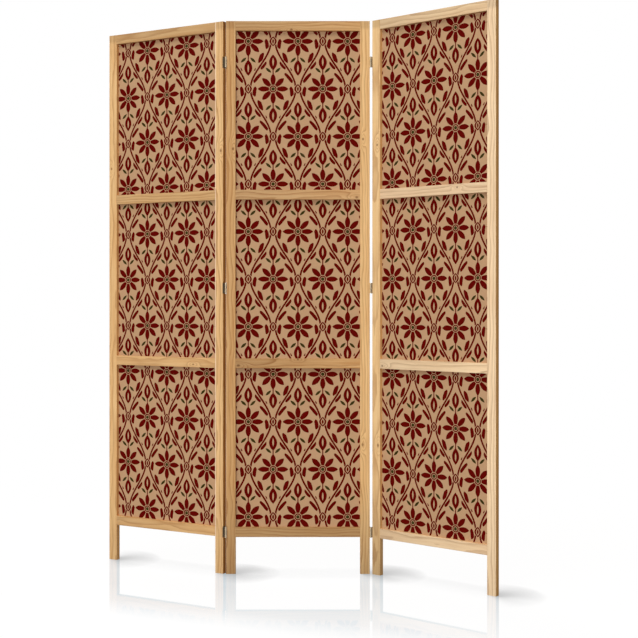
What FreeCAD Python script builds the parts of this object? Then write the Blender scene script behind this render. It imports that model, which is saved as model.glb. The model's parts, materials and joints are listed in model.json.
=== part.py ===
# Folding screen of three leaves: pine frames, printed canvas, two-way hinges.
# Millimetres, +Z up. The screen stands half folded in a Z on the plane Z = 0,
# and the origin is the middle of its footprint.
import FreeCAD, Part
import os

# Leaf frame
leaf_height = 1710.0
leaf_width = 445.0
frame_depth = 16.0
stile_width = 30.0
top_rail_height = 30.0
crossbar_height = 30.0
bottom_rail_height = 30.0
leg_height = 114.0          # floor to the underside of the bottom rail
edge_ease = 0.8             # rounding of the long edges

# Rebate round the back of the frame, with the canvas and its beads
rebate_width = 8.0
rebate_depth = 5.0
canvas_thickness = 0.6
canvas_margin = 1.0         # canvas edge to rebate wall
bead_gap = 0.5              # bead to rebate wall
bead_ease = 0.6

# Dowels at the ends of rails and crossbars
dowel_radius = 3.0
dowel_in_rail = 15.0
dowel_spacing = 13.0
dowel_end_gap = 0.5
core_wall = 4.0             # wood left between a dowel and the hinge screws

# Brads through the beads, staples through the canvas
brad_radius = 0.6
brad_head_radius = 1.1
brad_head_height = 0.5
brad_cover = 4.0            # wood left in front of a brad
brads_per_field = 3
brads_per_end = 3
staple_crown = 10.0
staple_wire_width = 1.0
staple_wire_thickness = 0.5
staple_cover = 5.0          # wood left in front of a staple
staples_per_crossbar = 6

# Hinges, with a knuckle proud of each face; the right ones lie on the stiles, the left ones in mortises
hinge_gap = 6.5             # across a hinge, from the back of one plate to the back of the other
left_leaf_gap = 1.4         # left between the left and centre leaves when the screen is flat
hinge_height = 32.0
hinge_plate = 1.2
link_plate = 0.8
plate_inset = 1.0           # plate edge to the face on the other side
knuckle_bite = 0.35         # how far a knuckle runs into its plate
knuckle_clearance = 0.3     # round a knuckle
knuckle_gap = 0.4           # between neighbouring knuckles
mortise_end_gap = 0.4       # hinge to the ends of its mortise
pin_radius = 1.2
pin_head_radius = 1.8
pin_head_height = 0.8
running_clearance = 0.05    # link on its pin
low_hinge_height = 129.0
middle_hinge_height = 884.0
high_hinge_drop = 127.0     # below the top of the leaf

# Hinge screws
screw_radius = 1.4
screw_head_radius = 2.6
screw_length = 12.0
screw_spacing = 18.0
recess_length = 2.8
recess_width = 0.6
recess_depth = 0.7

# Fixed pieces in their holes
seat_clearance = 0.03

# How far the screen stands folded, in degrees
left_fold = 29.1
right_fold = 39.9
left_lean = 4.2             # of the left links, with the left leaf pushed up to the centre leaf

# Sizes that follow from the ones above
front = -frame_depth / 2
back = frame_depth / 2
shoulder = back - rebate_depth
canvas_back = shoulder + canvas_thickness
crossbar_depth = shoulder - front
inner_left = stile_width
inner_right = leaf_width - stile_width
field_height = (leaf_height - leg_height - bottom_rail_height - top_rail_height - 2 * crossbar_height) / 3
bottom_rail_top = leg_height + bottom_rail_height
lower_crossbar_bottom = bottom_rail_top + field_height
upper_crossbar_bottom = lower_crossbar_bottom + crossbar_height + field_height
top_rail_bottom = leaf_height - top_rail_height
field_bottoms = [bottom_rail_top + i * (field_height + crossbar_height) for i in range(3)]
right_leaf_gap = hinge_gap
mortise_depth = (hinge_gap - left_leaf_gap) / 2
mortise_half = hinge_height / 2 + pin_head_height + mortise_end_gap
dowel_in_stile = stile_width - mortise_depth - (screw_length - hinge_plate) - core_wall
dowel_depth = front + crossbar_depth / 2
plate_face = hinge_gap / 2 - hinge_plate
plate_reach = back - plate_inset
knuckle_radius = plate_face + knuckle_bite
knuckle_room = knuckle_radius + knuckle_clearance
axis_offset = back + knuckle_room
middle_knuckle = hinge_height / 3
hinge_heights = {
    "low": low_hinge_height,
    "middle": middle_hinge_height,
    "high": leaf_height - high_hinge_drop,
}


def block(x0, x1, y0, y1, z0, z1):
    corner = FreeCAD.Vector(min(x0, x1), min(y0, y1), min(z0, z1))
    return Part.makeBox(abs(x1 - x0), abs(y1 - y0), abs(z1 - z0), corner)


def rod(radius, start, end):
    return Part.makeCylinder(radius, (end - start).Length, start, end - start)


def eased(shape, radius, direction):
    def runs_along(edge):
        line = edge.Vertexes[1].Point - edge.Vertexes[0].Point
        return abs(line.dot(direction)) > 0.999 * line.Length
    return shape.makeFillet(radius, [edge for edge in shape.Edges if runs_along(edge)])


def grouped(solids):
    return Part.makeCompound(solids)


# One leaf, drawn flat: X across from its left edge, Y from front to back, Z up

along_x = FreeCAD.Vector(1, 0, 0)
along_z = FreeCAD.Vector(0, 0, 1)


def stile(x0):
    post = eased(block(x0, x0 + stile_width, front, back, 0, leaf_height), edge_ease, along_z)
    inner = inner_left if x0 == 0 else inner_right
    outward = -1 if x0 == 0 else 1
    rebate = block(inner + outward * rebate_width, inner, shoulder, back,
                   bottom_rail_top - rebate_width, top_rail_bottom + rebate_width)
    return post.cut(rebate)


def rail(z0, height, sight_edge, inward):
    bar = eased(block(inner_left, inner_right, front, back, z0, z0 + height), edge_ease, along_x)
    rebate = block(inner_left, inner_right, shoulder, back, sight_edge, sight_edge - inward * rebate_width)
    return bar.cut(rebate)


def crossbar(z0):
    bar = block(inner_left, inner_right, front, shoulder, z0, z0 + crossbar_height)
    return eased(bar, edge_ease, along_x)


def canvas():
    spare = rebate_width - canvas_margin
    return block(inner_left - spare, inner_right + spare, shoulder, canvas_back,
                 bottom_rail_top - spare, top_rail_bottom + spare)


def side_bead(x0, x1):
    spare = rebate_width - bead_gap
    strip = block(x0, x1, canvas_back, back, bottom_rail_top - spare, top_rail_bottom + spare)
    return eased(strip, bead_ease, along_z)


def end_bead(z0, z1):
    strip = block(inner_left, inner_right, canvas_back, back, z0, z1)
    return eased(strip, bead_ease, along_x)


def dowels(radius_room, end_room):
    centres = [leg_height + bottom_rail_height / 2, lower_crossbar_bottom + crossbar_height / 2,
               upper_crossbar_bottom + crossbar_height / 2, top_rail_bottom + top_rail_height / 2]
    pegs = []
    for centre in centres:
        for z in (centre - dowel_spacing / 2, centre + dowel_spacing / 2):
            for joint, into_rail in ((inner_left, 1), (inner_right, -1)):
                start = FreeCAD.Vector(joint - into_rail * (dowel_in_stile + end_room), dowel_depth, z)
                end = FreeCAD.Vector(joint + into_rail * (dowel_in_rail + end_room), dowel_depth, z)
                pegs.append(rod(dowel_radius + radius_room, start, end))
    return pegs


def brad(x, z, room):
    head_base = back - brad_head_height
    shank = rod(brad_radius + room, FreeCAD.Vector(x, front + brad_cover - room, z),
                FreeCAD.Vector(x, head_base, z))
    head = rod(brad_head_radius + room, FreeCAD.Vector(x, head_base - room, z), FreeCAD.Vector(x, back, z))
    return shank.fuse(head)


def brads(room):
    bead_middle = (rebate_width - bead_gap) / 2
    pins = []
    for x in (inner_left - bead_middle, inner_right + bead_middle):
        for bottom in field_bottoms:
            for i in range(brads_per_field):
                pins.append(brad(x, bottom + field_height * (i + 0.5) / brads_per_field, room))
    for z in (bottom_rail_top - bead_middle, top_rail_bottom + bead_middle):
        for i in range(brads_per_end):
            x = inner_left + (inner_right - inner_left) * (i + 0.5) / brads_per_end
            pins.append(brad(x, z, room))
    return pins


def staple(x, z, room):
    half = staple_wire_width / 2 + room
    tip = front + staple_cover - room
    crown_back = canvas_back + staple_wire_thickness
    wire = block(x - staple_crown / 2 - room, x + staple_crown / 2 + room,
                 canvas_back, crown_back, z - half, z + half)
    for side in (-1, 1):
        outer = x + side * (staple_crown / 2 + room)
        inner = x + side * (staple_crown / 2 - staple_wire_thickness - room)
        wire = wire.fuse(block(outer, inner, tip, crown_back, z - half, z + half))
    return wire.removeSplitter()


def staples(room):
    wires = []
    for bottom in (lower_crossbar_bottom, upper_crossbar_bottom):
        for i in range(staples_per_crossbar):
            x = inner_left + (inner_right - inner_left) * (i + 0.5) / staples_per_crossbar
            wires.append(staple(x, bottom + crossbar_height / 2, room))
    return wires


def leaf_pieces():
    bead_width = rebate_width - bead_gap
    pieces = {
        "left_stile": stile(0),
        "right_stile": stile(inner_right),
        "top_rail": rail(top_rail_bottom, top_rail_height, top_rail_bottom, -1),
        "upper_crossbar": crossbar(upper_crossbar_bottom),
        "lower_crossbar": crossbar(lower_crossbar_bottom),
        "bottom_rail": rail(leg_height, bottom_rail_height, bottom_rail_top, 1),
        "canvas": canvas(),
        "side_beads": grouped([side_bead(inner_left - bead_width, inner_left),
                               side_bead(inner_right, inner_right + bead_width)]),
        "end_beads": grouped([end_bead(bottom_rail_top - bead_width, bottom_rail_top),
                              end_bead(top_rail_bottom, top_rail_bottom + bead_width)]),
    }
    dowel_holes = grouped(dowels(seat_clearance, dowel_end_gap))
    brad_holes = grouped(brads(seat_clearance))
    staple_holes = grouped(staples(seat_clearance))
    for name in ("left_stile", "right_stile", "top_rail", "bottom_rail"):
        pieces[name] = pieces[name].cut(dowel_holes).cut(brad_holes)
    for name in ("upper_crossbar", "lower_crossbar"):
        pieces[name] = pieces[name].cut(dowel_holes).cut(staple_holes)
    pieces["canvas"] = pieces["canvas"].cut(brad_holes).cut(staple_holes)
    for name in ("side_beads", "end_beads"):
        pieces[name] = pieces[name].cut(brad_holes)
    pieces["dowels"] = grouped(dowels(0, 0))
    pieces["brads"] = grouped(brads(0))
    pieces["staples"] = grouped(staples(0))
    return pieces


# One hinge, drawn flat: the gap's middle at X = 0, the frame's mid plane at Y = 0, its own middle at Z = 0

def upright(radius, y, z0, z1):
    return rod(radius, FreeCAD.Vector(0, y, z0), FreeCAD.Vector(0, y, z1))


def screw(side, z, room):
    face = side * plate_face
    inward = FreeCAD.Vector(side, 0, 0)
    start = FreeCAD.Vector(face, 0, z)
    head = Part.makeCone(screw_head_radius + room, screw_radius + room, hinge_plate, start, inward)
    shank = Part.makeCylinder(screw_radius + room, screw_length + room, start, inward)
    return head.fuse(shank)


def screws(side, room):
    return [screw(side, z, room) for z in (-screw_spacing / 2, screw_spacing / 2)]


def finished_screws(side):
    floor_x = side * (plate_face + recess_depth)
    turned = []
    for body, z in zip(screws(side, 0), (-screw_spacing / 2, screw_spacing / 2)):
        wide = block(side * plate_face, floor_x, -recess_length / 2, recess_length / 2,
                     z - recess_width / 2, z + recess_width / 2)
        tall = block(side * plate_face, floor_x, -recess_width / 2, recess_width / 2,
                     z - recess_length / 2, z + recess_length / 2)
        turned.append(body.cut(wide.fuse(tall)))
    return turned


def hinge_leaf(side, face):
    half = hinge_height / 2
    axis_y = face * axis_offset
    plate = block(side * plate_face, side * hinge_gap / 2, axis_y, -face * plate_reach, -half, half)
    leaf = plate.fuse(upright(knuckle_radius, axis_y, -half, half)).removeSplitter()
    notch = middle_knuckle / 2 + knuckle_gap
    leaf = leaf.cut(upright(knuckle_room, axis_y, -notch, notch))
    leaf = leaf.cut(upright(pin_radius + seat_clearance, axis_y, -half, half))
    return leaf.cut(grouped(screws(side, seat_clearance)))


def hinge_link():
    half = hinge_height / 2
    link = block(-link_plate / 2, link_plate / 2, -axis_offset, axis_offset, -half, half)
    for axis_y in (-axis_offset, axis_offset):
        for z0, z1 in ((-half, -middle_knuckle / 2), (middle_knuckle / 2, half)):
            link = link.cut(upright(knuckle_room, axis_y, z0, z1))
        link = link.fuse(upright(knuckle_radius, axis_y, -middle_knuckle / 2, middle_knuckle / 2))
    for axis_y in (-axis_offset, axis_offset):
        link = link.cut(upright(pin_radius + running_clearance, axis_y, -half, half))
    return link.removeSplitter()


def hinge_pin(face):
    half = hinge_height / 2
    axis_y = face * axis_offset
    pin = upright(pin_radius, axis_y, -half, half)
    for z0, z1 in ((-half - pin_head_height, -half), (half, half + pin_head_height)):
        pin = pin.fuse(upright(pin_head_radius, axis_y, z0, z1))
    return pin.removeSplitter()


# Where the leaves and hinges stand: drawn flat, then turned about the hinge axes in order

left_gap = -leaf_width / 2 - left_leaf_gap / 2
right_gap = leaf_width / 2 + right_leaf_gap / 2
left_front_axis = FreeCAD.Vector(left_gap, -axis_offset, 0)
left_back_axis = FreeCAD.Vector(left_gap, axis_offset, 0)
right_front_axis = FreeCAD.Vector(right_gap, -axis_offset, 0)
right_back_axis = FreeCAD.Vector(right_gap, axis_offset, 0)
left_link_turns = [(left_front_axis, -left_lean)]
right_link_turns = [(right_front_axis, -right_fold)]
link_turns = {"left": left_link_turns, "right": right_link_turns}
leaf_turns = {
    "left": [(left_back_axis, left_lean - left_fold)] + left_link_turns,
    "centre": [],
    "right": right_link_turns,
}
leaf_shifts = {
    "left": FreeCAD.Vector(left_gap - left_leaf_gap / 2 - leaf_width, 0, 0),
    "centre": FreeCAD.Vector(-leaf_width / 2, 0, 0),
    "right": FreeCAD.Vector(right_gap + right_leaf_gap / 2, 0, 0),
}


def turned(point, turns):
    for axis, degrees in turns:
        point = axis + FreeCAD.Rotation(along_z, degrees).multVec(point - axis)
    return point


def far_end(leaf, x):
    corners = [leaf_shifts[leaf] + FreeCAD.Vector(x, y, 0) for y in (front + edge_ease, back - edge_ease)]
    return [turned(corner, leaf_turns[leaf]) for corner in corners]


outline = far_end("left", edge_ease) + far_end("right", leaf_width - edge_ease)
middle = FreeCAD.Vector((min(p.x for p in outline) + max(p.x for p in outline)) / 2,
                        (min(p.y for p in outline) + max(p.y for p in outline)) / 2, 0)


def placed(shape, shift, turns):
    copy = shape.copy()
    copy.translate(shift)
    for axis, degrees in turns:
        copy.rotate(axis, along_z, degrees)
    copy.translate(middle * -1)
    return copy


nodes = {}
drawn_leaf = leaf_pieces()
screw_groups = {"left": [], "centre": [], "right": []}
pin_groups = {"left": [], "centre": [], "right": []}

for joint, gap_x, centre_side in (("left", left_gap, 1), ("right", right_gap, -1)):
    turns = leaf_turns[joint]
    for level, height in hinge_heights.items():
        spot = FreeCAD.Vector(gap_x, 0, height)
        name = joint + "_" + level + "_hinge"
        nodes[name + "_centre_plate"] = placed(hinge_leaf(centre_side, -1), spot, [])
        nodes[name + "_link"] = placed(hinge_link(), spot, link_turns[joint])
        nodes[name + "_outer_plate"] = placed(hinge_leaf(-centre_side, 1), spot, turns)
        pin_groups["centre"].append(placed(hinge_pin(-1), spot, []))
        pin_groups[joint].append(placed(hinge_pin(1), spot, turns))
        screw_groups["centre"] += [placed(s, spot, []) for s in finished_screws(centre_side)]
        screw_groups[joint] += [placed(s, spot, turns) for s in finished_screws(-centre_side)]


def at_hinges(cuts, gap_x):
    copies = []
    for height in hinge_heights.values():
        for cut in cuts:
            copy = cut.copy()
            copy.translate(FreeCAD.Vector(gap_x, 0, height))
            copies.append(copy)
    return grouped(copies)


def mortise(side):
    return block(0, side * hinge_gap / 2, -axis_offset, axis_offset, -mortise_half, mortise_half)


# Stiles with a hinge on them get its pilot holes, and at the left gap its mortise
hinge_cuts = {
    ("left", "right_stile"): [at_hinges(screws(-1, seat_clearance), left_gap), at_hinges([mortise(-1)], left_gap)],
    ("centre", "left_stile"): [at_hinges(screws(1, seat_clearance), left_gap), at_hinges([mortise(1)], left_gap)],
    ("centre", "right_stile"): [at_hinges(screws(-1, seat_clearance), right_gap)],
    ("right", "left_stile"): [at_hinges(screws(1, seat_clearance), right_gap)],
}

for leaf, shift in leaf_shifts.items():
    for name, shape in drawn_leaf.items():
        for cuts in hinge_cuts.get((leaf, name), []):
            cuts.translate(shift * -1)
            shape = shape.cut(cuts)
        nodes[leaf + "_leaf_" + name] = placed(shape, shift, leaf_turns[leaf])
    nodes[leaf + "_leaf_hinge_screws"] = grouped(screw_groups[leaf])
    nodes[leaf + "_leaf_hinge_pins"] = grouped(pin_groups[leaf])

# Files, and the hinge axes for whoever states the joints

os.makedirs("parts", exist_ok=True)
for name, shape in nodes.items():
    shape.exportStep("parts/" + name + ".step")
    assert shape.isValid(), name

hinge_axes = {
    "left front": left_front_axis,
    "left back": turned(left_back_axis, left_link_turns),
    "right front": right_front_axis,
    "right back": turned(right_back_axis, right_link_turns),
}
for name, axis in hinge_axes.items():
    print(name, "hinge axis", round(axis.x - middle.x, 3), round(axis.y - middle.y, 3))
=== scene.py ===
import json
import math
import random

import bpy
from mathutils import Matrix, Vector


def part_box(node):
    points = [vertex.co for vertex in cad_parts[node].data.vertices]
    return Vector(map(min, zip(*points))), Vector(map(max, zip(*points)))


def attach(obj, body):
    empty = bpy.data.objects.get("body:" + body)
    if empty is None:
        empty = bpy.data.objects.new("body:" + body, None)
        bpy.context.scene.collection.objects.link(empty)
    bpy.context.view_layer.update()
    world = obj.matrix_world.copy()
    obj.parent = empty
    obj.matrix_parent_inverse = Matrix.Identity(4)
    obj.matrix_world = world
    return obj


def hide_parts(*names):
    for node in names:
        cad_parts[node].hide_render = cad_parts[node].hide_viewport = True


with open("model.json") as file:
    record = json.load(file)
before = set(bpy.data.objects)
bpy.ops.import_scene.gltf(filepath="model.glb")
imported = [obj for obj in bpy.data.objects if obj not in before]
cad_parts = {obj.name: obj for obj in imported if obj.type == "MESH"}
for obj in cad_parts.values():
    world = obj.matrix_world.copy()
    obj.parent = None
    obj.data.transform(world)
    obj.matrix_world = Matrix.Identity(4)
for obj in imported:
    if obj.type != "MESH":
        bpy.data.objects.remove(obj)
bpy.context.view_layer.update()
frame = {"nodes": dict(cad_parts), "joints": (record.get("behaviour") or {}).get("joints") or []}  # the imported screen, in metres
nodes = frame["nodes"]
joints = {joint["name"]: joint for joint in frame["joints"]}
leftLean = 90.0 - joints["left_link_fold"]["range_deg"][1]  # links pushed past straight at rest
leafTurns = {  # how far each leaf stands folded from flat, about Z
    "left": math.radians(joints["left_leaf_fold"]["range_deg"][0] + leftLean),
    "centre": 0.0,
    "right": math.radians(joints["right_link_fold"]["range_deg"][0]),
}


# Node helpers

class Field:  # a value that changes over a surface, worked out by Math nodes
    def __init__(self, tree, socket):
        self.tree = tree
        self.socket = socket

    def __add__(self, other):
        return maths("ADD", self, other)

    def __radd__(self, other):
        return maths("ADD", other, self)

    def __sub__(self, other):
        return maths("SUBTRACT", self, other)

    def __rsub__(self, other):
        return maths("SUBTRACT", other, self)

    def __mul__(self, other):
        return maths("MULTIPLY", self, other)

    def __rmul__(self, other):
        return maths("MULTIPLY", other, self)

    def __truediv__(self, other):
        return maths("DIVIDE", self, other)

    def __pow__(self, other):
        return maths("POWER", self, other)

    def __abs__(self):
        return maths("ABSOLUTE", self)

    def __lt__(self, other):  # 1 where it holds, else 0
        return maths("LESS_THAN", self, other)

    def __gt__(self, other):
        return maths("GREATER_THAN", self, other)


def plug(tree, socket, value):
    if isinstance(value, Field):
        value = value.socket
    if isinstance(value, bpy.types.NodeSocket):
        tree.links.new(value, socket)
    else:
        socket.default_value = value


def maths(operation, *values):
    tree = next(value.tree for value in values if isinstance(value, Field))
    made = tree.nodes.new("ShaderNodeMath")
    made.operation = operation
    for socket, value in zip(made.inputs, values):
        plug(tree, socket, value)
    return Field(tree, made.outputs[0])


def addNode(tree, kind, inputs=None, **settings):
    made = tree.nodes.new("ShaderNode" + kind)
    for name, value in settings.items():
        setattr(made, name, value)
    for name, value in (inputs or {}).items():
        plug(tree, made.inputs[name], value)
    return made


def axes(tree, socket):
    split = addNode(tree, "SeparateXYZ", {"Vector": socket})
    return [Field(tree, output) for output in split.outputs]


def stretched(tree, socket, factors):
    return addNode(tree, "VectorMath", {0: socket, 1: factors}, operation="MULTIPLY").outputs[0]


def noise(tree, socket, factors, detail=1.0):
    vector = stretched(tree, socket, factors)
    return addNode(tree, "TexNoise", {"Vector": vector, "Scale": 1.0, "Detail": detail})


def noiseField(tree, socket, factors, detail=1.0):
    return Field(tree, noise(tree, socket, factors, detail).outputs[0])


def mixColour(tree, factor, first, second, blend="MIX"):
    made = addNode(tree, "Mix", data_type="RGBA", blend_type=blend)
    plug(tree, made.inputs[0], factor)
    plug(tree, made.inputs[6], first)  # 6 and 7 are the colour inputs of a Mix node
    plug(tree, made.inputs[7], second)
    return made.outputs[2]


def colour(red, green, blue):  # screen values, 0 to 255, as linear light
    linear = [((part / 255 + 0.055) / 1.055) ** 2.4 for part in (red, green, blue)]
    return (*linear, 1.0)


def grey(level):
    return (level, level, level, 1.0)


def newGroup(name, inputs, outputs):
    tree = bpy.data.node_groups.new(name, "ShaderNodeTree")
    for label, kind in inputs.items():
        tree.interface.new_socket(label, in_out="INPUT", socket_type="NodeSocket" + kind)
    for label, kind in outputs.items():
        tree.interface.new_socket(label, in_out="OUTPUT", socket_type="NodeSocket" + kind)
    return tree, tree.nodes.new("NodeGroupInput").outputs, tree.nodes.new("NodeGroupOutput").inputs


def placeGroup(tree, group, values):
    made = tree.nodes.new("ShaderNodeGroup")
    made.node_tree = group
    for label, value in values.items():
        plug(tree, made.inputs[label], value)
    return made.outputs


def newMaterial(name):
    made = bpy.data.materials.new(name)
    made.use_nodes = True
    return made, made.node_tree, made.node_tree.nodes["Principled BSDF"]


def bump(tree, shader, height, distance, strength):
    made = addNode(tree, "Bump", {"Height": height, "Distance": distance, "Strength": strength})
    tree.links.new(made.outputs["Normal"], shader.inputs["Normal"])


def middle(node):
    low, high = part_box(node)
    return (low + high) / 2


def dress(node, material):
    for slot in nodes[node].material_slots:
        slot.material = material


# Pine: rings about an off-centre pith, fibres, pin knots, darker end grain

pineLook = {
    "seed": 41,
    "pale": colour(231, 191, 135),
    "honey": colour(212, 163, 105),
    "lateWood": colour(160, 106, 54),
    "knotWood": colour(132, 88, 46),
    # colour of a painted highlight along one arris
    "endWood": colour(150, 100, 52),
    "highlightWood": colour(250, 226, 200),
    "sideShadeTint": (1.0, 0.86, 0.68, 1.0),  # painted shade: side faces are darkened to a deeper orange than the faces
    "rimShadeTint": (0.63, 0.50, 0.26, 1.0),  # and the painted shade is deeper still on the leaf's outer sides
    "ringWidth": 0.0056,
    "sway": 0.014,  # how far the pith wanders
    "swayStretch": (6.0, 6.0, 6.0),
    "roughRing": 0.7,
    "roughStretch": (110.0, 110.0, 11.0),
    "cloudStretch": (130.0, 130.0, 5.0),
    "fibreStretch": (1100.0, 1100.0, 22.0),
    "fleckStretch": (1500.0, 1500.0, 70.0),
    "knotWide": 2.4,  # how far a knot bends the rings, in its radii
    "knotLong": 6.5,
    "knotPush": 4.5,
    "knotOval": 1.7,
    "knotReach": 1.2,
    "knotSlope": 1.2,
    "knotShade": 0.8,
    "knotSoft": 0.2,
    "lateRise": 3.0,  # late wood darkens slowly through a ring
    "lateDrop": 24.0,  # and ends at once
    "latePalest": 0.3,
    "seedSpan": 20.0,
    "pithAside": (0.004, 0.035),
    "pithBehind": (0.022, 0.05),
    "leanSpan": (0.003, 0.012),  # how far the rings run out of true
    "valueSpan": (0.97, 1.03),
    "endFacing": 0.8,  # cosines, for faces that look along the grain or out of the leaf's side
    "edgeFacing": 0.5,
    "cloudShade": 1.8,
    "fleckFrom": 0.7,
    "fleckShade": 0.25,
    "endShade": 0.6,
    "fibreShade": 0.22,
    "roughness": 0.56,
    "fibreRough": 0.2,
    "lateRough": 0.08,
    "specular": 0.2,
    "grainDepth": 0.00012,
    "grainStrength": 0.6,
    "legFade": 0.30,  # height at which the painted shade on a leg has gone, leaving the stile's own tone
    "topTone": 0.80,  # the top end, level with the rail
    "topFade": (0.029, 0.019),  # starts and ends this far below the top
    "railHalf": 0.19,
    # how far that painted highlight is mixed in
    "highlightShare": 0.55,
}


def buildPineGrain(look):
    tree, given, result = newGroup(
        "pineGrain",
        {"Place": "Vector", "Seed": "Vector", "Pith": "Vector", "Lean": "Float", "Knot A": "Vector",
         "Knot B": "Vector", "End Grain": "Float", "Side Shade": "Float", "Rim Shade": "Float", "Hue": "Float",
         "Saturation": "Float", "Value": "Float"},
        {"Colour": "Color", "Roughness": "Float", "Height": "Float"},
    )
    x, y, z = axes(tree, given["Place"])
    pithX, pithY = axes(tree, given["Pith"])[:2]
    seeded = addNode(tree, "VectorMath", {0: given["Place"], 1: given["Seed"]}).outputs[0]
    swayX, swayY = axes(tree, noise(tree, seeded, look["swayStretch"]).outputs["Color"])[:2]
    sideways = x - pithX + (swayX - 0.5) * look["sway"]
    inwards = y - pithY + (swayY - 0.5) * look["sway"]
    lean = Field(tree, given["Lean"])
    radius = maths("SQRT", sideways * sideways + inwards * inwards) + z * lean
    knots = None
    for label in ("Knot A", "Knot B"):  # each is across, along and radius
        knotX, knotZ, size = axes(tree, given[label])
        acrossKnot = (x - knotX) / size
        alongKnot = (z - knotZ) / size
        swirl = (acrossKnot / look["knotWide"]) ** 2.0 + (alongKnot / look["knotLong"]) ** 2.0
        radius = radius + maths("EXPONENT", swirl * -1.0) * size * look["knotPush"]
        core = maths("SQRT", acrossKnot * acrossKnot + alongKnot * alongKnot / look["knotOval"])
        spot = maths("MAXIMUM", look["knotReach"] - core, 0.0) * look["knotSlope"]
        spot = maths("SMOOTH_MIN", spot, look["knotShade"], look["knotSoft"])
        knots = spot if knots is None else maths("MAXIMUM", knots, spot)
    rough = noiseField(tree, seeded, look["roughStretch"], detail=2.0)
    phase = radius / look["ringWidth"] + (rough - 0.5) * look["roughRing"]
    ring = maths("FLOOR", phase)
    within = phase - ring
    ringTone = addNode(tree, "TexWhiteNoise", {"W": ring}, noise_dimensions="1D")
    palest = look["latePalest"]
    ringShade = Field(tree, ringTone.outputs[0]) * (1.0 - palest) + palest
    late = within ** look["lateRise"] * (1.0 - within ** look["lateDrop"]) * ringShade
    fibre = noiseField(tree, seeded, look["fibreStretch"], detail=2.0)
    cloud = noiseField(tree, seeded, look["cloudStretch"], detail=2.0)
    fleck = noiseField(tree, seeded, look["fleckStretch"]) > look["fleckFrom"]
    wood = mixColour(tree, (cloud - 0.5) * look["cloudShade"] + 0.5, look["pale"], look["honey"])
    wood = mixColour(tree, late, wood, look["lateWood"])
    wood = mixColour(tree, fleck * look["fleckShade"], wood, look["lateWood"])
    wood = mixColour(tree, knots, wood, look["knotWood"])
    wood = mixColour(tree, Field(tree, given["End Grain"]) * look["endShade"], wood, look["endWood"])
    toned = addNode(tree, "HueSaturation",
                    {"Color": wood, "Hue": given["Hue"], "Saturation": given["Saturation"]})
    fibreTone = (fibre - 0.5) * look["fibreShade"] + 1.0
    plug(tree, toned.inputs["Value"], Field(tree, given["Value"]) * fibreTone)
    # painted shade on the side faces, deeper on the leaf's outer sides
    wood = mixColour(tree, given["Side Shade"], toned.outputs["Color"], look["sideShadeTint"], "MULTIPLY")
    wood = mixColour(tree, given["Rim Shade"], wood, look["rimShadeTint"], "MULTIPLY")
    plug(tree, result["Colour"], wood)
    plug(tree, result["Roughness"],
         look["roughness"] + (fibre - 0.5) * look["fibreRough"] + late * look["lateRough"])
    plug(tree, result["Height"], fibre * 0.5 + late * 0.5)
    return tree


pineGrain = buildPineGrain(pineLook)
noKnot = (0.0, 9.0, 0.003)  # far off the end of the piece
pinePieces = {
    # tone: hue in degrees, saturation and value; leg: how dark the painted shade makes it at the floor
    # ends: at the left and right of a rail that changes along its length
    # knots: across, along the grain from the middle, radius; the highlight entry: a painted highlight on
    # the arris left of this line
    "left_leaf_left_stile": {
        "tone": (0.0, 0.99, 1.017), "leg": 0.85, "knots": [(-0.006, 0.42, 0.0035)]},
    "left_leaf_right_stile": {
        "tone": (0.0, 0.98, 1.03), "leg": 0.85, "knots": [(0.006, 0.455, 0.0040)], "edgeHighlight": -0.0118},
    "left_leaf_top_rail": {"tone": (-0.8, 1.0, 0.74)},
    "left_leaf_upper_crossbar": {"tone": (-0.6, 1.0, 0.803)},
    "left_leaf_lower_crossbar": {"tone": (-0.6, 1.0, 0.92), "knots": [(0.006, 0.11, 0.0030)]},
    "left_leaf_bottom_rail": {"tone": (-0.6, 1.0, 0.834), "ends": (0.95, 1.06)},
    "centre_leaf_left_stile": {
        "tone": (-2.0, 1.07, 0.762), "leg": 0.66, "knots": [(0.007, 0.46, 0.0040)]},
    "centre_leaf_right_stile": {
        "tone": (0.6, 1.0, 0.985), "leg": 0.60,
        "knots": [(-0.006, 0.49, 0.0035), (-0.007, -0.455, 0.0040)]},
    "centre_leaf_top_rail": {
        "tone": (-1.8, 1.05, 0.735), "ends": (0.84, 1.10), "knots": [(0.011, -0.02, 0.0035)]},
    "centre_leaf_upper_crossbar": {
        "tone": (-1.9, 1.03, 0.735), "ends": (0.89, 1.09), "knots": [(0.008, 0.182, 0.0040)]},
    "centre_leaf_lower_crossbar": {
        "tone": (-2.4, 1.07, 0.665), "ends": (0.86, 1.18),
        "knots": [(0.006, -0.184, 0.0040), (-0.012, 0.0, 0.0030)]},
    "centre_leaf_bottom_rail": {"tone": (-1.4, 1.05, 0.57)},
    "right_leaf_left_stile": {
        "tone": (1.9, 0.93, 1.04), "leg": 0.62, "knots": [(0.007, -0.455, 0.0040), (0.004, 0.47, 0.0035)]},
    "right_leaf_right_stile": {"tone": (2.4, 0.75, 1.18), "leg": 0.88},
    "right_leaf_top_rail": {"tone": (2.4, 0.80, 1.01), "ends": (0.88, 1.07)},
    "right_leaf_upper_crossbar": {"tone": (1.4, 0.77, 1.055), "knots": [(-0.005, 0.09, 0.0030)]},
    "right_leaf_lower_crossbar": {
        "tone": (2.4, 0.77, 1.13), "ends": (0.87, 1.06), "knots": [(0.006, -0.184, 0.0035)]},
    "right_leaf_bottom_rail": {"tone": (1.8, 0.78, 1.09), "ends": (0.87, 1.05)},
}


def facing(tree, coords, line):  # 1 where a surface looks along this line, 0 beside it, -1 against it
    made = addNode(tree, "VectorMath", {0: coords.outputs["Normal"], 1: line}, operation="DOT_PRODUCT")
    return Field(tree, made.outputs["Value"])


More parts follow.
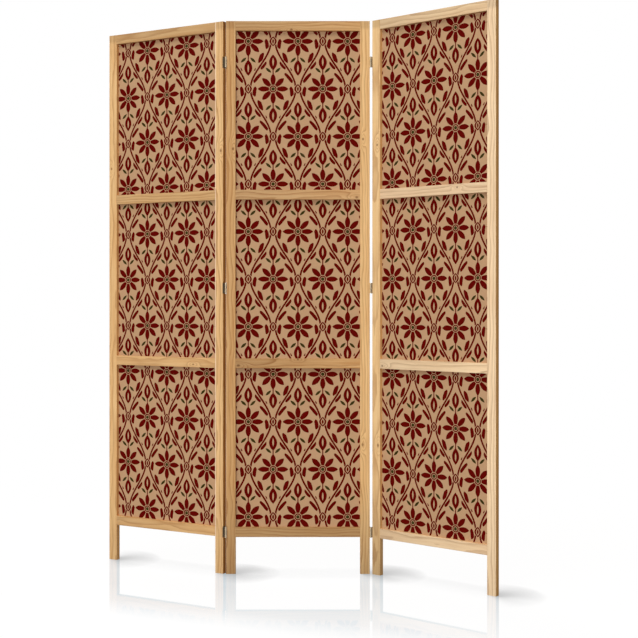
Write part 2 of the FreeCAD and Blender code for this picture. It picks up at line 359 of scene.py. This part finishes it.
def legShadeAndTopTone(tree, coords, top, shadeAtFloor):  # painted shade darkening the leg towards the floor, and darker across the top end
    look = pineLook
    z = axes(tree, coords.outputs["Object"])[2]
    fadeFrom, fadeTo = [top - below for below in look["topFade"]]
    leg = addNode(tree, "MapRange", {"Value": z, "From Max": look["legFade"], "To Min": shadeAtFloor})
    end = addNode(tree, "MapRange", {"Value": z, "From Min": fadeFrom, "From Max": fadeTo,
                                     "To Min": 1.0, "To Max": look["topTone"]})
    return Field(tree, leg.outputs[0]) * Field(tree, end.outputs[0])


def railTone(tree, place, atLeft, atRight):
    z = axes(tree, place.outputs[0])[2]
    half = pineLook["railHalf"]
    along = addNode(tree, "MapRange", {"Value": z, "From Min": -half, "From Max": half,
                                       "To Min": atLeft, "To Max": atRight})
    return Field(tree, along.outputs[0])


def pine(node, turn, lengthwise, draw):
    # grain runs along Z in an upright piece and along the leaf in a rail
    look = pineLook
    own = pinePieces.get(node, {})  # the beads have nothing of their own
    material, tree, shader = newMaterial(node + "_pine")
    coords = addNode(tree, "TexCoord")
    place = addNode(tree, "Mapping", {"Vector": coords.outputs["Object"]}, vector_type="TEXTURE")
    place.inputs["Location"].default_value = middle(node)
    place.inputs["Rotation"].default_value = (0.0, math.pi / 2 if lengthwise else 0.0, turn)
    alongLeaf = (math.cos(turn), math.sin(turn), 0.0)
    throughLeaf = (-math.sin(turn), math.cos(turn), 0.0)
    rightwards = facing(tree, coords, alongLeaf)
    endwards = rightwards if lengthwise else facing(tree, coords, (0.0, 0.0, 1.0))
    endGrain = abs(endwards) > look["endFacing"]
    # where the painted shade goes: side faces, and the outer sides of the leaf
    sideShade = abs(facing(tree, coords, throughLeaf)) < look["edgeFacing"]
    rimShade = 0.0
    tone = 1.0
    if node.endswith("left_stile"):
        rimShade = rightwards < -look["endFacing"]
    elif node.endswith("right_stile"):
        rimShade = rightwards > look["endFacing"]
    # painted shade down the legs of a stile
    if "leg" in own:
        tone = legShadeAndTopTone(tree, coords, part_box(node)[1].z, own["leg"])
    elif "ends" in own:
        tone = railTone(tree, place, *own["ends"])
    knots = own.get("knots", []) + [noKnot, noKnot]
    hue, saturation, value = own.get("tone", (0.0, 1.0, 1.0))
    side = draw.choice((-1.0, 1.0))
    grain = placeGroup(tree, pineGrain, {
        "Place": place.outputs[0],
        "Seed": [draw.uniform(-look["seedSpan"], look["seedSpan"]) for axis in range(3)],
        "Pith": (side * draw.uniform(*look["pithAside"]), draw.uniform(*look["pithBehind"]), 0.0),
        "Lean": draw.uniform(*look["leanSpan"]) * draw.choice((-1.0, 1.0)),
        "Knot A": knots[0],
        "Knot B": knots[1],
        "End Grain": endGrain,
        "Side Shade": sideShade,
        "Rim Shade": rimShade,
        "Hue": 0.5 + hue / 360,  # 0.5 leaves a hue as it is
        "Saturation": saturation,
        "Value": tone * (value * draw.uniform(*look["valueSpan"])),
    })
    shown = grain["Colour"]
    # painted highlight: a pale strip along the arris, where it catches the light
    if "edgeHighlight" in own:
        across = axes(tree, place.outputs[0])[0]
        edgeHighlight = (across < own["edgeHighlight"]) * look["highlightShare"]
        shown = mixColour(tree, edgeHighlight, shown, look["highlightWood"])
    plug(tree, shader.inputs["Base Color"], shown)
    plug(tree, shader.inputs["Roughness"], grain["Roughness"])
    shader.inputs["Specular IOR Level"].default_value = look["specular"]
    bump(tree, shader, grain["Height"], look["grainDepth"], look["grainStrength"])
    return material


uprightPieces = ("left_stile", "right_stile", "side_beads")
railPieces = ("top_rail", "upper_crossbar", "lower_crossbar", "bottom_rail")
levelPieces = railPieces + ("end_beads",)
pineDraw = random.Random(pineLook["seed"])
for leaf, turn in leafTurns.items():
    for piece in uprightPieces + levelPieces:
        name = leaf + "_leaf_" + piece
        dress(name, pine(name, turn, piece in levelPieces, pineDraw))
print("pine: 18 frame pieces and 6 sets of beads")


# Canvas: plain weave and a trellis print

weaveLook = {
    "thread": 0.0008,
    "slubAcross": (160.0, 2200.0, 1.0),
    "slubUp": (2200.0, 160.0, 1.0),
    "slubHeight": 0.6,
    "slubTone": 0.16,
    # painted shade in the hollows between the threads
    "hollowShade": 0.08,
    "threadMean": 0.67,
    "depth": 0.00016,
    "strength": 0.5,
}


def buildWeave(look):
    tree, given, result = newGroup("canvasWeave", {"Cloth": "Vector"}, {"Height": "Float", "Slub And Shade": "Float"})
    across, up = axes(tree, given["Cloth"])[:2]
    warp = across / look["thread"]
    weft = up / look["thread"]
    over = maths("FLOORED_MODULO", maths("FLOOR", warp) + maths("FLOOR", weft), 2.0)
    warpRound = 1.0 - (maths("FRACT", warp) * 2.0 - 1.0) ** 2.0
    weftRound = 1.0 - (maths("FRACT", weft) * 2.0 - 1.0) ** 2.0
    height = over * warpRound + (1.0 - over) * weftRound
    slub = noiseField(tree, given["Cloth"], look["slubAcross"])
    slub = slub + noiseField(tree, given["Cloth"], look["slubUp"])
    plug(tree, result["Height"], height + slub * look["slubHeight"])
    # painted shade in the hollows between threads, with uneven slubs in the yarn
    hollowShade = (height - look["threadMean"]) * look["hollowShade"]
    plug(tree, result["Slub And Shade"], (slub - 1.0) * look["slubTone"] + hollowShade + 1.0)
    return tree


printLook = {
    "across": 0.154,  # one repeat, in metres; neighbours drop by half
    "up": 0.295,
    "sway": 0.0316,  # how far a vine swings
    "stem": 0.0028,
    "leaves": 7,  # on each side of a vine in one repeat
    "leafStart": 0.0037,
    "leafLong": 0.0160,
    "leafShort": 0.0050,  # any shorter is left out
    "leafClear": 0.0085,
    "leafWide": 1.35,
    "leafLean": 1.1,
    "petals": 8,
    "petalStart": 0.0125,
    "petalLong": 0.0350,
    "petalWide": 0.43,
    "petalRound": 2.4,
    "heart": (0.0070, 0.0108),  # a ring round the eye
    "eye": 0.0054,
    "bud": (0.082, 0.0125, 0.0250),  # how far from the middle, half width, half length
    "slit": (0.084, 0.0026, 0.0130),
    "stalk": (0.046, 0.062, 0.0017),  # from, to, half width
    "sprig": (0.0145, 0.0580, 0.0040, 0.0118),  # across, up, half width, half length
    "sprigTurn": math.radians(48),
    "clasp": (0.0112, 0.0152),  # half width, half length
    "claspRing": (0.27, 0.5),  # in shares of the clasp
    "claspClear": 1.2,
    "bleed": 0.0005,
    "bleedStretch": (700.0, 700.0, 1.0),
}


def lens(across, along, width, length):  # under 1 inside a pointed oval of these half sizes
    return abs(across) / width + (along / length) ** 2.0


def both(*masks):
    shown = masks[0]
    for mask in masks[1:]:
        shown = shown * mask
    return shown


def either(*masks):
    shown = masks[0]
    for mask in masks[1:]:
        shown = maths("MAXIMUM", shown, mask)
    return shown


def buildTrellisPrint(look):
    tree, given, result = newGroup("trellisPrint", {"Cloth": "Vector"}, {"Red": "Float", "Olive": "Float"})
    x, y = axes(tree, given["Cloth"])[:2]
    blurX, blurY = axes(tree, noise(tree, given["Cloth"], look["bleedStretch"]).outputs["Color"])[:2]
    x = x + (blurX - 0.5) * look["bleed"]
    y = y + (blurY - 0.5) * look["bleed"]

    # vines swing to and fro, each in its own strip half a repeat wide
    strip = look["across"] / 2
    wave = 2 * math.pi / look["up"]
    number = maths("FLOOR", x / strip)
    inStrip = x - (number + 0.5) * strip
    mirror = 1.0 - maths("FLOORED_MODULO", number, 2.0) * 2.0
    swing = maths("COSINE", y * wave)
    slope = maths("SINE", y * wave) * (look["sway"] * wave)
    offVine = inStrip - mirror * swing * look["sway"]
    away = abs(offVine) / maths("SQRT", slope * slope + 1.0)
    vine = away < look["stem"]

    # leaves point up and out, longer where the vines stand further apart
    side = maths("SIGN", offVine)
    room = strip / 2 - side * mirror * swing * look["sway"]
    leafLong = maths("MAXIMUM", room * 0.5 - look["leafClear"], 0.00001)  # never nought
    leafLong = maths("MINIMUM", leafLong, look["leafLong"])
    reach = (away - look["leafStart"]) / leafLong
    column = maths("FLOORED_MODULO", number + (offVine > 0.0), 2.0)
    upLeaf = (y - away * look["leafLean"]) * (look["leaves"] / look["up"]) + column * 0.5
    offLeaf = abs(maths("FRACT", upLeaf) - 0.5)
    leaf = both(offLeaf < reach * (1.0 - reach) * look["leafWide"], leafLong > look["leafShort"])

    # the middle of the nearest cell of the trellis
    cellX = x - look["across"] * maths("ROUND", x / look["across"])
    cellY = y - look["up"] * maths("ROUND", y / look["up"])
    dropX = x - look["across"] * (maths("FLOOR", x / look["across"]) + 0.5)
    dropY = y - look["up"] * (maths("FLOOR", y / look["up"]) + 0.5)
    here = (abs(cellX) / look["across"] + abs(cellY) / look["up"]) < 0.5
    cellX = here * cellX + (1.0 - here) * dropX
    cellY = here * cellY + (1.0 - here) * dropY

    # a rosette in each cell
    out = maths("SQRT", cellX * cellX + cellY * cellY)
    turns = maths("ARCTAN2", cellX, cellY) * (look["petals"] / (2 * math.pi))
    acrossPetal = abs(maths("FRACT", turns + 0.5) - 0.5)
    alongPetal = maths("MAXIMUM", (out - look["petalStart"]) / look["petalLong"], 0.0)
    petalHalf = (1.0 - alongPetal ** look["petalRound"]) * look["petalWide"]
    petal = both(acrossPetal < petalHalf, out > look["petalStart"])
    heartFrom, heartTo = look["heart"]
    heart = both(out < heartTo, out > heartFrom)
    eye = out < look["eye"]

    # buds above and below it, on stalks with a pair of small leaves
    fromMiddle = abs(cellX)
    fromCentre = abs(cellY)
    budUp, budWide, budLong = look["bud"]
    slitUp, slitWide, slitLong = look["slit"]
    stalkFrom, stalkTo, stalkWide = look["stalk"]
    bud = lens(fromMiddle, fromCentre - budUp, budWide, budLong) < 1.0
    slit = lens(fromMiddle, fromCentre - slitUp, slitWide, slitLong) < 1.0
    stalk = both(fromMiddle < stalkWide, fromCentre > stalkFrom, fromCentre < stalkTo)
    sprigOut, sprigUp, sprigWide, sprigLong = look["sprig"]
    sprigX = fromMiddle - sprigOut
    sprigY = fromCentre - sprigUp
    sine = math.sin(look["sprigTurn"])
    cosine = math.cos(look["sprigTurn"])
    acrossSprig = sprigX * cosine - sprigY * sine
    alongSprig = sprigX * sine + sprigY * cosine
    sprig = lens(acrossSprig, alongSprig, sprigWide, sprigLong) < 1.0

    # a clasp where two vines come close
    fromEdge = strip / 2 - abs(inStrip)
    apart = maths("SIGN", inStrip) * mirror * swing
    fromNeck = maths("ARCCOSINE", maths("MINIMUM", maths("MAXIMUM", apart, -1.0), 1.0)) / wave
    clasp = lens(fromEdge, fromNeck, *look["clasp"])
    ringFrom, ringTo = look["claspRing"]
    claspRing = both(clasp < ringTo, clasp > ringFrom)

    flower = either(petal, heart, bud * (1.0 - slit), stalk)
    trellis = either(vine, leaf, flower) * (clasp > look["claspClear"])
    red = either(trellis, both(clasp < 1.0, 1.0 - claspRing))
    plug(tree, result["Red"], red)
    plug(tree, result["Olive"], either(eye, sprig) * (1.0 - red))
    return tree


canvasWeave = buildWeave(weaveLook)
trellisPrint = buildTrellisPrint(printLook)
canvasLook = {
    "ground": colour(186, 148, 112),
    "red": colour(93, 7, 1),
    "olive": colour(58, 50, 20),
    "raw": colour(214, 204, 184),
    "showThrough": colour(176, 150, 128),
    "showShare": 0.45,
    "mottleStretch": (60.0, 60.0, 1.0),
    "mottleTone": 0.10,
    "mottleRough": 0.1,
    "roughness": 0.82,
    "specular": 0.02,
}
printShifts = {"left": (0.0, 0.0), "centre": (0.0, printLook["up"] / 2), "right": (0.0, 0.0)}


def canvasMaterial(name, shift, printed):
    look = canvasLook
    material, tree, shader = newMaterial(name)
    cloth = addNode(tree, "UVMap", uv_map="clothMap").outputs[0]
    place = addNode(tree, "Mapping", {"Vector": cloth}, vector_type="POINT")
    place.inputs["Location"].default_value = (*shift, 0.0)
    weave = placeGroup(tree, canvasWeave, {"Cloth": cloth})
    ink = placeGroup(tree, trellisPrint, {"Cloth": place.outputs[0]})
    mottle = noiseField(tree, cloth, look["mottleStretch"], detail=3.0)
    if printed:
        shown = mixColour(tree, ink["Red"], look["ground"], look["red"])
        shown = mixColour(tree, ink["Olive"], shown, look["olive"])
    else:  # the ink shows faintly through the unprinted side
        faint = Field(tree, ink["Red"]) * look["showShare"]
        shown = mixColour(tree, faint, look["raw"], look["showThrough"])
    toned = addNode(tree, "HueSaturation", {"Color": shown})
    mottleTone = (mottle - 0.5) * look["mottleTone"] + 1.0
    plug(tree, toned.inputs["Value"], Field(tree, weave["Slub And Shade"]) * mottleTone)
    plug(tree, shader.inputs["Base Color"], toned.outputs["Color"])
    plug(tree, shader.inputs["Roughness"], look["roughness"] + (mottle - 0.5) * look["mottleRough"])
    shader.inputs["Specular IOR Level"].default_value = look["specular"]
    bump(tree, shader, weave["Height"], weaveLook["depth"], weaveLook["strength"])
    return material


canvasSheet = {
    "columns": 42,
    "rows": 156,
    "belly": 0.0007,  # how far a field sags behind the bars
    "ripple": 0.00012,
    "rippleWave": 0.052,
    "rippleLean": 5.0,  # how the ripple drifts up the sheet
    "smoothAngle": math.radians(40),
}
unprinted = canvasMaterial("canvas_back", printShifts["centre"], False)


def sag(across, height, bars):  # 0 along every bar, most in the middle of each field
    inside = max(0.0, 1.0 - (2 * across / canvasWidth) ** 2)
    for lower, upper in zip(bars, bars[1:]):
        if lower < height < upper:
            rise = math.sin(math.pi * (height - lower) / (upper - lower))
            drift = canvasSheet["rippleLean"] * height
            wave = math.sin(2 * math.pi * across / canvasSheet["rippleWave"] + drift)
            return inside * rise * (canvasSheet["belly"] + canvasSheet["ripple"] * wave)
    return 0.0


centreLow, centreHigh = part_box("centre_leaf_canvas")  # the centre leaf stands square to the axes
canvasWidth = centreHigh.x - centreLow.x
canvasHeight = centreHigh.z - centreLow.z
canvasThick = centreHigh.y - centreLow.y
for leaf, turn in leafTurns.items():
    node = leaf + "_leaf_canvas"
    forward = Vector((math.sin(turn), -math.cos(turn), 0.0))
    bpy.ops.object.select_all(action="DESELECT")
    bpy.ops.mesh.primitive_grid_add(
        x_subdivisions=canvasSheet["columns"], y_subdivisions=canvasSheet["rows"], size=1.0,
        location=middle(node) + forward * canvasThick / 2, rotation=(math.pi / 2, 0.0, turn))
    canvas = bpy.context.object
    canvas.name = leaf + "_canvas"
    canvas.scale = (canvasWidth, canvasHeight, 1.0)
    bpy.ops.object.transform_apply(location=False, rotation=False, scale=True)
    clothMap = canvas.data.uv_layers[0]
    clothMap.name = "clothMap"
    for corner in clothMap.data:  # the print is laid out in metres from the middle
        corner.uv = ((corner.uv[0] - 0.5) * canvasWidth, (corner.uv[1] - 0.5) * canvasHeight)
    bars = sorted(middle(leaf + "_leaf_" + bar).z - middle(node).z for bar in railPieces)
    for vertex in canvas.data.vertices:
        vertex.co.z -= sag(vertex.co.x, vertex.co.y, bars)
    bpy.ops.object.transform_apply(location=True, rotation=True, scale=True)
    canvas.data.materials.append(canvasMaterial(leaf + "_canvas_print", printShifts[leaf], True))
    canvas.data.materials.append(unprinted)
    thickness = canvas.modifiers.new("thickness", "SOLIDIFY")
    thickness.thickness = canvasThick
    thickness.offset = -1.0  # the plane is the printed face
    thickness.material_offset = 1
    thickness.material_offset_rim = 1
    bpy.ops.object.modifier_apply(modifier=thickness.name)
    bpy.ops.object.shade_smooth_by_angle(angle=canvasSheet["smoothAngle"])
    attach(canvas, leaf + "_leaf")
    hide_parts(node)
print("canvas: 3 printed sheets,", round(canvasWidth, 3), "by", round(canvasHeight, 3), "m")


# Steel: zinc-plated hinges, bright pins and screws, brads and staple wire

steelLooks = {
    "hinge": {"bright": colour(174, 158, 134), "dull": colour(148, 133, 110), "roughness": 0.55},
    "pin": {"bright": colour(205, 205, 202), "dull": colour(170, 170, 166), "roughness": 0.26},
    "screw": {"bright": colour(198, 196, 188), "dull": colour(158, 155, 146), "roughness": 0.30},
    "brad": {"bright": colour(176, 174, 168), "dull": colour(128, 124, 116), "roughness": 0.42},
    "staple": {"bright": colour(192, 190, 184), "dull": colour(150, 146, 138), "roughness": 0.34},
}
wearLook = {
    "brushStretch": (2600.0, 2600.0, 120.0),
    "bloomStretch": (210.0, 210.0, 210.0),
    "bloomShade": 1.3,
    "bloomFrom": 0.15,
    "bloomRough": 0.25,
    "brushRough": 0.12,
    "depth": 0.00002,
    "strength": 0.5,
}


def buildSteelWear(look):
    tree, given, result = newGroup(
        "steelWear", {"Place": "Vector", "Bright": "Color", "Dull": "Color", "Base Roughness": "Float"},
        {"Colour": "Color", "Roughness": "Float", "Height": "Float"})
    brushed = noiseField(tree, given["Place"], look["brushStretch"], detail=2.0)
    bloom = noiseField(tree, given["Place"], look["bloomStretch"], detail=3.0)
    dulled = bloom * look["bloomShade"] - look["bloomFrom"]
    plug(tree, result["Colour"], mixColour(tree, dulled, given["Bright"], given["Dull"]))
    rough = Field(tree, given["Base Roughness"]) + (bloom - 0.5) * look["bloomRough"]
    plug(tree, result["Roughness"], rough + (brushed - 0.5) * look["brushRough"])
    plug(tree, result["Height"], brushed)
    return tree


steelWear = buildSteelWear(wearLook)


def steel(kind):
    look = steelLooks[kind]
    material, tree, shader = newMaterial(kind + "_steel")
    place = addNode(tree, "TexCoord").outputs["Object"]
    worn = placeGroup(tree, steelWear, {"Place": place, "Bright": look["bright"], "Dull": look["dull"],
                                        "Base Roughness": look["roughness"]})
    plug(tree, shader.inputs["Base Color"], worn["Colour"])
    plug(tree, shader.inputs["Roughness"], worn["Roughness"])
    shader.inputs["Metallic"].default_value = 1.0
    bump(tree, shader, worn["Height"], wearLook["depth"], wearLook["strength"])
    return material


steels = {kind: steel(kind) for kind in steelLooks}
for gap in ("left", "right"):
    for height in ("low", "middle", "high"):
        for piece in ("centre_plate", "link", "outer_plate"):
            dress(gap + "_" + height + "_hinge_" + piece, steels["hinge"])
for leaf in leafTurns:
    for piece, kind in (("hinge_pins", "pin"), ("hinge_screws", "screw"), ("brads", "brad"),
                        ("staples", "staple")):
        dress(leaf + "_leaf_" + piece, steels[kind])
print("steel: 6 hinges with their pins and screws, brads, staples")


# Beech dowels, hidden in the joints

beechLook = {
    "pale": colour(222, 190, 152),
    "ray": colour(182, 138, 98),
    "rayStretch": (900.0, 900.0, 900.0),
    "rayFrom": 0.6,
    "rayShade": 0.5,
    "cloudStretch": (40.0, 40.0, 40.0),
    "cloudShade": 0.3,
    "roughness": 0.6,
    "rayRough": 0.2,
    "depth": 0.00005,
    "strength": 0.5,
}


def beech(look):
    material, tree, shader = newMaterial("beech_dowels")
    place = addNode(tree, "TexCoord").outputs["Object"]
    ray = noiseField(tree, place, look["rayStretch"], detail=2.0)
    cloud = noiseField(tree, place, look["cloudStretch"], detail=2.0)
    flecked = (ray > look["rayFrom"]) * look["rayShade"] + cloud * look["cloudShade"]
    plug(tree, shader.inputs["Base Color"], mixColour(tree, flecked, look["pale"], look["ray"]))
    plug(tree, shader.inputs["Roughness"], look["roughness"] + (ray - 0.5) * look["rayRough"])
    bump(tree, shader, ray, look["depth"], look["strength"])
    return material


dowelBeech = beech(beechLook)
for leaf in leafTurns:
    dress(leaf + "_leaf_dowels", dowelBeech)
print("beech: 3 sets of dowels")


# Stage: white surroundings, a pale floor, a broad light from above and softer ones in front and behind

stageLook = {
    "floorSize": 40.0,
    "floorBounce": 0.16,  # what it throws back on the screen
    "floorRough": 0.9,
    "floorShade": 0.05,  # share of the floor that takes cast shadow
    "floorGlow": 0.955,
    "footReach": 0.14,  # how far a foot darkens the floor beside it
    "footSide": (-0.97, -0.05, 0.22),  # on the side away from the key light
    "footSoft": 9.0,
    "footSamples": 32,
    "footShade": 0.42,
    "floorNear": 0.8,  # beyond this the floor fades into the white surroundings
    "floorFar": 1.9,
    "mirror": 0.40,
    "mirrorRough": 0.03,
    "mirrorTint": (1.0, 0.75, 0.64),  # takes the warmth of the wood out of its reflection
    "mirrorFade": (0.15, -0.90, -0.18),  # slant, where the reflection has gone, where it is whole
    "mirrorCut": (0.4, -0.66, -0.49),  # the same for the polish, which follows the screen's run
    "ambient": 0.18,
    "lampAim": (0.0, 0.0, 0.9),
    "key": {"place": (-5.7, -12.1, 20.9), "size": 18.0, "power": 4950.0},
    "front": {"place": (-1.9, -9.0, 0.9), "size": 3.0, "power": 475.0},
    "back": {"place": (-4.0, 8.0, 4.5), "size": 4.0, "power": 750.0},
}


def seenDirectly(tree):  # 1 for rays from the camera, mirrors and glass
    path = addNode(tree, "LightPath").outputs
    seen = [Field(tree, path[ray]) for ray in ("Is Camera Ray", "Is Glossy Ray", "Is Transmission Ray")]
    return either(*seen)


def surroundings(look):
    world = bpy.data.worlds.new("studio")
    world.use_nodes = True
    bpy.context.scene.world = world
    tree = world.node_tree
    output = tree.nodes["World Output"]
    soft = tree.nodes["Background"]
    soft.inputs["Color"].default_value = grey(1.0)
    soft.inputs["Strength"].default_value = look["ambient"]
    white = addNode(tree, "Background", {"Color": grey(1.0), "Strength": 1.0})
    chosen = addNode(tree, "MixShader", {0: seenDirectly(tree), 1: soft.outputs[0], 2: white.outputs[0]})
    tree.links.new(chosen.outputs[0], output.inputs["Surface"])


def floorMaterial(look):
    material, tree, shader = newMaterial("pale_floor")
    output = tree.nodes["Material Output"]
    shader.inputs["Base Color"].default_value = grey(look["floorBounce"])
    shader.inputs["Roughness"].default_value = look["floorRough"]
    place = addNode(tree, "TexCoord").outputs["Object"]
    x, y = axes(tree, place)[:2]

    # shade beside each foot
    footSide = addNode(tree, "CombineXYZ", dict(zip("XYZ", look["footSide"])))
    foot = addNode(tree, "AmbientOcclusion", {"Distance": look["footReach"], "Normal": footSide.outputs[0]},
                   samples=look["footSamples"])
    clear = 1.0 - (1.0 - Field(tree, foot.outputs["AO"]) ** look["footSoft"]) * look["footShade"]

    # a reflection that fades towards the viewer, on a floor that makes up for its tint
    mirror = look["mirror"]
    for slant, gone, whole in (look["mirrorFade"], look["mirrorCut"]):
        near = addNode(tree, "MapRange", {"Value": y + x * slant, "From Min": gone, "From Max": whole})
        mirror = Field(tree, near.outputs[0]) * mirror
    channels = ("Red", "Green", "Blue")
    parts = [(1.0 - mirror * tint) / (1.0 - mirror) for tint in look["mirrorTint"]]
    white = addNode(tree, "CombineColor", dict(zip(channels, parts)))
    glow = addNode(tree, "Emission", {"Color": white.outputs[0]})
    plug(tree, glow.inputs["Strength"], clear * look["floorGlow"])
    shade = addNode(tree, "BsdfDiffuse", {"Color": grey(look["floorShade"])})
    lit = addNode(tree, "AddShader", {0: glow.outputs[0], 1: shade.outputs[0]})
    tints = [clear * tint for tint in look["mirrorTint"]]
    sheen = addNode(tree, "CombineColor", dict(zip(channels, tints)))
    gloss = addNode(tree, "BsdfAnisotropic", {"Color": sheen.outputs[0], "Roughness": look["mirrorRough"]})
    polished = addNode(tree, "MixShader", {0: mirror, 1: lit.outputs[0], 2: gloss.outputs[0]})

    # further out it goes over into the white surroundings
    out = (maths("SQRT", x * x + y * y) - look["floorNear"]) / (look["floorFar"] - look["floorNear"])
    out = maths("MINIMUM", maths("MAXIMUM", out, 0.0), 1.0)
    far = addNode(tree, "Emission", {"Color": grey(1.0), "Strength": 1.0})
    faded = addNode(tree, "MixShader", {0: out, 1: polished.outputs[0], 2: far.outputs[0]})
    chosen = addNode(tree, "MixShader", {0: seenDirectly(tree), 1: shader.outputs[0], 2: faded.outputs[0]})
    tree.links.new(chosen.outputs[0], output.inputs["Surface"])
    return material


def lamp(name, look):
    bpy.ops.object.select_all(action="DESELECT")
    bpy.ops.object.light_add(type="AREA", location=look["place"])
    made = bpy.context.object
    made.name = name + "_lamp"
    made.data.energy = look["power"]
    made.data.size = look["size"]
    along = Vector(stageLook["lampAim"]) - Vector(look["place"])
    made.rotation_euler = along.to_track_quat("-Z", "Y").to_euler()


surroundings(stageLook)
bpy.ops.object.select_all(action="DESELECT")
bpy.ops.mesh.primitive_plane_add(size=stageLook["floorSize"], location=(0.0, 0.0, 0.0))
floor = bpy.context.object
floor.name = "floor"
floor.data.materials.append(floorMaterial(stageLook))
for name in ("key", "front", "back"):
    lamp(name, stageLook[name])
print("stage: floor and 3 lamps")


# Camera: level, as far off as the photograph's perspective says

cameraLook = {
    "picture": 638,  # pixels across
    "focal": 1232,  # pixels
    "horizon": 297.5,  # pixels from the top
    "distance": 3.810,  # in front of the centre leaf's face
    "aside": 0.0654,  # right of the centre leaf's middle
    "height": 0.855,
    "sensor": 36.0,
}
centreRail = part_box("centre_leaf_top_rail")
bpy.ops.object.select_all(action="DESELECT")
bpy.ops.object.camera_add(
    location=(middle("centre_leaf_top_rail").x + cameraLook["aside"],
              centreRail[0].y - cameraLook["distance"], cameraLook["height"]),
    rotation=(math.pi / 2, 0.0, 0.0))
camera = bpy.context.object
camera.data.sensor_width = cameraLook["sensor"]
camera.data.lens = cameraLook["focal"] / cameraLook["picture"] * camera.data.sensor_width
camera.data.shift_y = (cameraLook["horizon"] - cameraLook["picture"] / 2) / cameraLook["picture"]
bpy.context.scene.camera = camera
bpy.context.scene.view_settings.view_transform = "Standard"
print("camera: lens", round(camera.data.lens, 2), "mm")
